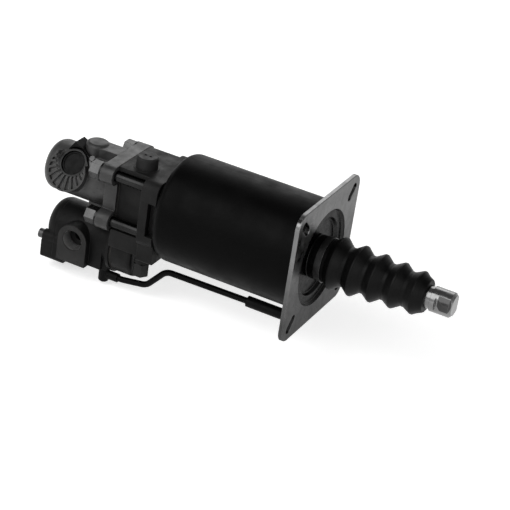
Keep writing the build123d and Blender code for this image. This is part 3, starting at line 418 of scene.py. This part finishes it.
def shaded_slot_walls(g):
    """The walls of the flange's slots, below the plate's front edge and inside its rim, painted dark as
    shade.
    """
    front_edge, least_radius, rim_reach = -0.00065, 0.0555, 0.061
    share = g.product(
        g.below(g.along(forward), front_edge, blur=0.00025),
        g.above(g.from_axis(*rod_line), least_radius, blur=0.0005),
    )
    for direction in (near, (0.0, 1.0, 0.0), down, (0.0, 0.0, 1.0)):
        share = g.product(share, g.below(g.along(direction), rim_reach, blur=0.0005))
    return share


def shaded_rod_flats(g):
    """The milled flats near the rod's end, painted darker as shade."""
    flats_start, flats_end, flat_reach = 0.1174, 0.1305, 0.00986
    ahead = g.along(forward)
    out = g.maths("ABSOLUTE", g.along(flat_direction), 0.0)
    return g.product(
        g.above(ahead, flats_start, blur=0.0002),
        g.below(ahead, flats_end, blur=0.0001),
        g.above(out, flat_reach, blur=0.00006),
    )


def shaded_bolt_shanks(g):
    """The bolts' shanks, painted darker than their heads as shade."""
    heads_end = -0.215
    return g.above(g.along(forward), heads_end, blur=0.0002)


rod_brushing = (1.0, 14.0, 14.0)
machined_brushing = (1.0, 10.0, 10.0)
looks = {
    "barrel_paint": paint("barrel_paint", level=0.0012, roughness=0.42, specular=0.045),
    "pipe_paint": paint("pipe_paint", level=0.0012, roughness=0.4, specular=0.06),
    # The flange's foot is painted darker towards the bottom as shade.
    "flange_zinc": bright_metal(
        # The flange's slot walls are painted dark as shade.
        "flange_zinc", 0.19, roughness=0.3, glancing=0.62, patches=((shaded_foot, 0.05), (shaded_slot_walls, 0.01))
    ),
    # The front cover is the flange's zinc, set much darker as painted shade.
    "shaded_cover_zinc": bright_metal("shaded_cover_zinc", 0.03, roughness=0.26, glancing=0.58),
    # The rod's flats are painted darker as shade.
    "rod_steel": bright_metal(
        "rod_steel", 0.2, roughness=0.2, brushed=rod_brushing, scratch=0.35, patches=((shaded_rod_flats, 0.05),)
    ),
    # The bolts' shanks are painted darker than their heads as shade.
    "bolt_zinc": bright_metal(
        "bolt_zinc", 0.062, roughness=0.25, glancing=0.7, patches=((shaded_bolt_shanks, 0.022),)
    ),
    "small_zinc": bright_metal("small_zinc", 0.16, roughness=0.3),
    "dark_zinc": bright_metal("dark_zinc", 0.07, roughness=0.4),
    "plug_zinc": bright_metal("plug_zinc", 0.028, roughness=0.4, glancing=0.3),
    "spring_wire": bright_metal("spring_wire", 0.3, roughness=0.35),
    "machined": bright_metal("machined", 0.45, roughness=0.3, brushed=machined_brushing),
    "bronze": bright_metal("bronze", 0.3, roughness=0.4, warm=0.35),
    "head_cast": cast_metal("head_cast", 0.01, specular=0.12),
    "housing_cast": cast_metal(
        "housing_cast",
        0.034,
        grain=600.0,
        specular=0.34,
        roughness=0.42,
        # The inlet boss's floor is painted lighter, against its shade.
        patches=((lit_inlet_floor, 0.1), (port_mouth, 0.002)),
    ),
    "valve_cast": cast_metal(
        "valve_cast", 0.0065, grain=620.0, specular=0.1, roughness=0.46, patches=((air_port_face, 0.027),)
    ),
    "thread_metal": cast_metal("thread_metal", 0.1, grain=600.0, specular=0.5, roughness=0.3),
    "bellows_rubber": rubber("bellows_rubber", 0.0021, roughness=0.42, specular=0.09),
    "seal_rubber": rubber("seal_rubber", 0.008, roughness=0.55),
    "hose_rubber": rubber("hose_rubber", 0.0018, roughness=0.5, specular=0.08),
    "black_moulding": plastic("black_moulding", 0.0025, specular=0.1),
    "cap_moulding": plastic("cap_moulding", 0.016, roughness=0.5, specular=0.16),
    "nylon": plastic("nylon", 0.6, roughness=0.5, warm=0.02),
    "fibre": plastic("fibre", 0.03, roughness=0.85, warm=0.05, specular=0.1),
}
look_of = {
    "cylinder_barrel": "barrel_paint",
    "mounting_flange": "flange_zinc",
    "front_cover": "shaded_cover_zinc",
    "guide_bush": "bronze",
    "rod_wiper": "seal_rubber",
    "push_rod": "rod_steel",
    "bellows": "bellows_rubber",
    "bellows_clamp": "dark_zinc",
    "air_piston": "machined",
    "piston_guide_ring": "nylon",
    "piston_seal": "seal_rubber",
    "hydraulic_plunger": "rod_steel",
    "preload_spring": "spring_wire",
    "backing_ring": "small_zinc",
    "floor_screws": "small_zinc",
    "head_gasket": "fibre",
    "cylinder_head": "head_cast",
    "breather_cap": "cap_moulding",
    "drain_plug": "plug_zinc",
    "plunger_bush": "bronze",
    "air_seal": "seal_rubber",
    "plunger_seal": "seal_rubber",
    "backup_ring": "nylon",
    "spacer_sleeve": "machined",
    "body_gasket": "fibre",
    "hydraulic_body": "housing_cast",
    "inlet_plug": "black_moulding",
    "bleed_screw": "small_zinc",
    "tie_bolts": "bolt_zinc",
    "tie_bolt_washers": "bolt_zinc",
    "relay_valve_body": "valve_cast",
    "valve_gasket": "fibre",
    "valve_cover": "valve_cast",
    "valve_cover_ring": "seal_rubber",
    "valve_cover_screws": "dark_zinc",
    "control_piston": "machined",
    "control_piston_ring": "seal_rubber",
    "control_spring": "spring_wire",
    "inlet_poppet": "seal_rubber",
    "poppet_spring": "spring_wire",
    "vent_elbow": "hose_rubber",
    "vent_pipe": "pipe_paint",
    "vent_nipple": "pipe_paint",
    "vent_hose": "hose_rubber",
    "dust_cover": "black_moulding",
}


def dress(piece, look):
    if piece.material_slots:
        for material_slot in piece.material_slots:
            material_slot.material = looks[look]
    else:
        piece.data.materials.append(looks[look])


for name, piece in nodes.items():
    dress(piece, look_of[name])


def piece_from(name, points, faces, body, look):
    """A smooth piece of the scene's own, which rides on a body where one is given."""
    mesh = bpy.data.meshes.new(name)
    mesh.from_pydata(points, [], faces)
    mesh.shade_smooth()
    piece = placed(name, mesh)
    dress(piece, look)
    if body:
        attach(piece, body)
    return piece


# Springs: each is shown by a fixed copy of its wire, which takes the place of its own node
def stretched(node):
    piece = nodes[node].copy()
    piece.data = nodes[node].data.copy()
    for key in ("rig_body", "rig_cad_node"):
        if key in piece:
            del piece[key]
    piece.name = node + "_wire"
    piece.parent = None
    bpy.context.scene.collection.objects.link(piece)
    dress(piece, look_of[node])
    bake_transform(piece)
    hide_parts(node)


for node, moving_body in (
    ("preload_spring", "push_rod"),
    ("control_spring", "control_piston"),
    ("poppet_spring", "inlet_valve"),
):
    stretched(node)


# Bellows: turned from the same outline as the solid, with finer rounds, and leaning a little as rubber does
crest_count = 5
first_crest_x = 0.0168
crest_pitch = 0.0197
first_crest_radius = 0.025
last_crest_radius = 0.0203
crest_taper = 1.2
first_valley_radius = 0.0188
last_valley_radius = 0.0166
crest_width = 0.0016
least_crest_width = 0.0004
valley_width = 0.0034
skin = 0.0015
cuff_back = -0.005
cuff_front = 0.0105
cuff_radius = 0.019
cuff_gap = 0.00005
nose_back = 0.1001
nose_front = 0.1051
nose_radius = 0.0176
nose_taper = 0.0025
lip_radius = 0.0106
lip_back = 0.10125
rod_clearance_radius = 0.01185
cuff_round = 0.0005
outer_crest_round = 0.0009
outer_valley_round = 0.0014
nose_round = 0.0015
lip_round = 0.0004
nose_inner_round = 0.0005
inner_fold_round = 0.0002
fold_lean = 0.05
lean_fullness = 0.6
swell = 0.006
swells_around = 3
swell_twist = 70.0


def rounded(corners, steps=6):
    """The outline through corners of x, y and a radius, with each one rounded by an arc."""
    outline = []
    for index, (x, y, radius) in enumerate(corners):
        corner = Vector((x, y))
        if radius == 0:
            outline.append((x, y))
            continue
        before = Vector(corners[index - 1][:2])
        after = Vector(corners[(index + 1) % len(corners)][:2])
        first = (before - corner).normalized()
        second = (after - corner).normalized()
        half = first.angle(second) / 2
        reach = radius / tan(half)
        centre = corner + (first + second).normalized() * (radius / sin(half))
        start = corner + first * reach - centre
        end = corner + second * reach - centre
        start_angle = atan2(start.y, start.x)
        angle = start.angle_signed(end)
        for step in range(steps + 1):
            turned = start_angle - angle * step / steps
            outline.append((centre.x + radius * cos(turned), centre.y + radius * sin(turned)))
    return outline


def folds(depth, crest_round, valley_round):
    """Corners of the folds' outline, at a depth under the outer face."""
    corners = []
    half_crest = max(crest_width - depth, least_crest_width) / 2
    half_valley = (valley_width + depth) / 2
    for index in range(crest_count):
        crest_x = first_crest_x + crest_pitch * index
        share = (index / (crest_count - 1)) ** crest_taper
        radius = first_crest_radius + (last_crest_radius - first_crest_radius) * share - depth
        corners.append((crest_x - half_crest, radius, crest_round))
        corners.append((crest_x + half_crest, radius, crest_round))
        if index < crest_count - 1:
            valley_x = crest_x + crest_pitch / 2
            share = index / (crest_count - 2)
            radius = first_valley_radius + (last_valley_radius - first_valley_radius) * share - depth
            corners.append((valley_x - half_valley, radius, valley_round))
            corners.append((valley_x + half_valley, radius, valley_round))
    return corners


def leaning(x, radius, angle):
    """A point of the bellows: the folds lean forward at the top and swell a little unevenly."""
    share = (x - cuff_front) / (nose_back - cuff_front)
    lean = 0.0
    if 0 < share < 1:
        lean = fold_lean * sin(pi * share) ** lean_fullness
        radius *= 1 + swell * sin(swells_around * angle + swell_twist * x)
    y, z = radius * sin(angle), radius * cos(angle)
    return (x + lean * z, y, z)


outer = [
    (cuff_back, cuff_radius + skin, cuff_round),
    (cuff_front, cuff_radius + skin, outer_valley_round),
    *folds(0.0, outer_crest_round, outer_valley_round),
    (nose_back, nose_radius, outer_valley_round),
    (nose_front, nose_radius - nose_taper, nose_round),
]
inner = [
    (nose_front, lip_radius, lip_round),
    (lip_back, lip_radius, 0),
    (lip_back, rod_clearance_radius, 0),
    (nose_back - skin, rod_clearance_radius + skin, nose_inner_round),
    *reversed(folds(skin, inner_fold_round, inner_fold_round)),
    (cuff_front, cuff_radius + cuff_gap, 0),
    (cuff_back, cuff_radius + cuff_gap, 0),
]
outline = rounded(outer + inner)
around = 128
points = []
faces = []
for index, (x, radius) in enumerate(outline):
    here = index * around
    below = ((index + 1) % len(outline)) * around
    for step in range(around):
        following = (step + 1) % around
        points.append(leaning(x, radius, 2 * pi * step / around))
        faces.append((here + step, here + following, below + following, below + step))
bellows_skin = piece_from("bellows_skin", points, faces, None, "bellows_rubber")
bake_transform(bellows_skin)
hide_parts("bellows")


# Thread in the air port: a fine ridge that winds along the hole
port_x, port_z = air_port_centre[0], air_port_centre[2]
port_face_y, thread_end_y = -0.032, -0.0185
pitch = 0.0015
start_turns = 0.6
ridge_half_width = pitch * 0.46
wall_radius, ridge_radius = 0.01022, 0.00945
ridge_section = ((-ridge_half_width, wall_radius), (0.0, ridge_radius), (ridge_half_width, wall_radius))
steps_per_turn = 60
turns = (thread_end_y - port_face_y - pitch) / pitch
points = []
faces = []
for step in range(int(steps_per_turn * turns) + 1):
    angle = 2 * pi * step / steps_per_turn
    y = port_face_y + pitch * (start_turns + step / steps_per_turn)
    for offset, radius in ridge_section:
        points.append((port_x + radius * cos(angle), y + offset, port_z + radius * sin(angle)))
    if step:
        here, last = 3 * step, 3 * (step - 1)
        faces.append((last, here, here + 1, last + 1))
        faces.append((last + 1, here + 1, here + 2, last + 2))
port_thread = piece_from("port_thread", points, faces, "housing", "thread_metal")


# Floor: plain and pale, white where it is seen, with the object's shadow
floor_gap = 0.004
floor_level = cad_low.z - floor_gap
reach = 12.0
floor_material = Material("floor")
distance = floor_material.from_axis(origin, down)
near_distance, far_distance, near_glow, far_glow = 0.4, 1.8, 0.6, 1.0
glow = floor_material.spread(distance, near_distance, far_distance, near_glow, far_glow)
floor_material.surface(
    Base_Color=grey(0.82),
    Roughness=0.9,
    Specular_IOR_Level=0.0,
    Emission_Color=grey(1.0),
    Emission_Strength=floor_material.product(floor_material.shown(), glow),
)
floor_mesh = bpy.data.meshes.new("floor")
floor_corners = [(x * reach, y * reach, floor_level) for x, y in ((-1, -1), (1, -1), (1, 1), (-1, 1))]
floor_mesh.from_pydata(floor_corners, [], [(0, 1, 2, 3)])
floor_mesh.materials.append(floor_material.material)
floor = placed("floor", floor_mesh)


# World: white where it is seen, half as strong where it only gives light, and dimmer overhead
world = bpy.data.worlds.new("studio")
bpy.context.scene.world = world
world.use_nodes = True
studio = Graph(world.node_tree)
world_output = studio.add("ShaderNodeOutputWorld")
background = studio.add("ShaderNodeBackground")
studio.feed(world_output.inputs["Surface"], background.outputs["Background"])
light_strength, shown_strength = 0.5, 1.0
strength = studio.spread(studio.shown(), 0.0, 1.0, light_strength, shown_strength)
direction = studio.add("ShaderNodeSeparateXYZ")
studio.feed(direction.inputs["Vector"], studio.add("ShaderNodeTexCoord").outputs["Generated"])
wall_top, ceiling_height, ceiling_share = 0.1, 0.6, 0.18
ceiling = studio.spread(direction.outputs["Z"], wall_top, ceiling_height, 1.0, ceiling_share, "SMOOTHSTEP")
studio.feed(background.inputs["Color"], grey(1.0))
studio.feed(background.inputs["Strength"], studio.product(strength, ceiling))


# Lamps: large soft discs that face the object
object_middle = Vector((-0.07, 0.0, -0.01))
for name, place, size, power in (
    ("key", (-0.7, -1.3, 1.3), 1.8, 26.0),
    ("fill", (1.6, -1.0, 0.9), 1.6, 12.0),
    ("rim", (-0.8, 1.6, 1.1), 1.3, 10.0),
):
    lamp = bpy.data.lights.new(name, "AREA")
    lamp.shape = "DISK"
    lamp.size = size
    lamp.energy = power
    holder = placed(name, lamp)
    holder.location = place
    holder.rotation_mode = "QUATERNION"
    holder.rotation_quaternion = (object_middle - Vector(place)).to_track_quat("-Z", "Y")

bpy.context.scene.view_settings.view_transform = "Standard"
